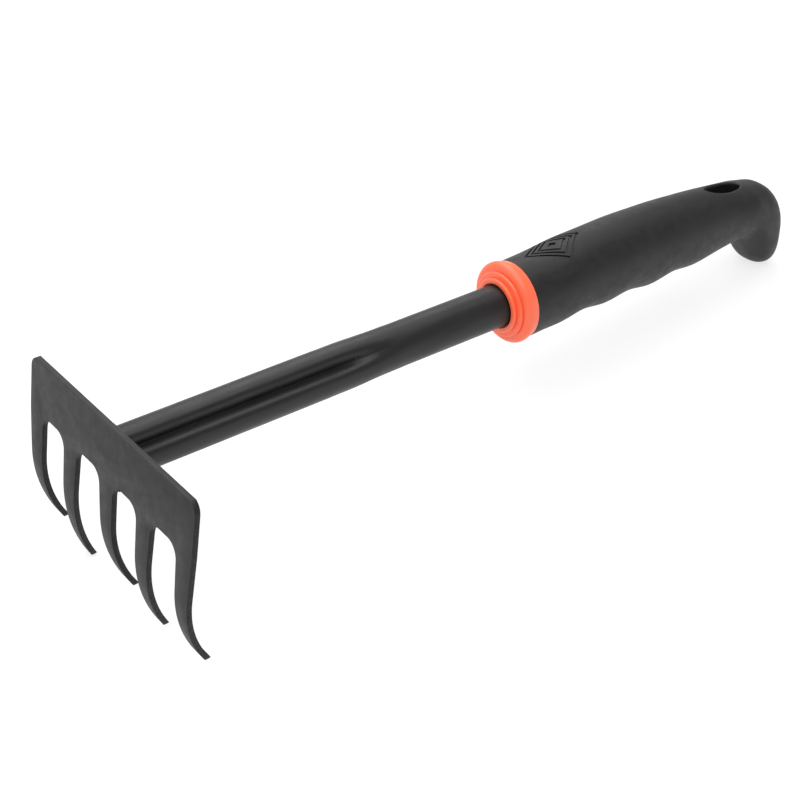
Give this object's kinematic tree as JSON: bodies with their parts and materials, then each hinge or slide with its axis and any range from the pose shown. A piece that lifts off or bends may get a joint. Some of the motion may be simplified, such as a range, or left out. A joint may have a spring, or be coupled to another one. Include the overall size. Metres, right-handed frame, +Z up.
{
  "type": "hand rake",
  "caption": "Hand rake: stamped steel head with a row of bent tines, creased tubular shaft, stepped orange collar and a soft black finger grip with a hang slot.",
  "frame": {"origin": "middle of the bounding box's base, on the flat surface that the tine tips and the pommel stand on", "axes": "+X from the head towards the grip, +Y across the head, +Z up"},
  "size_m": [0.3226, 0.1084, 0.0693],
  "materials": {
    "coated_steel_sheet": "satin black powder coat",
    "coated_steel_tube": "satin black paint",
    "orange_plastic": "satin moulded plastic",
    "black_rubber": "matt soft-touch rubber"
  },
  "bodies": {
    "root": {"rake_head": "coated_steel_sheet", "weld_bead": "coated_steel_sheet", "shaft_tube": "coated_steel_tube", "grip_core": "orange_plastic", "grip_sleeve": "black_rubber"}
  },
  "joints": []
}
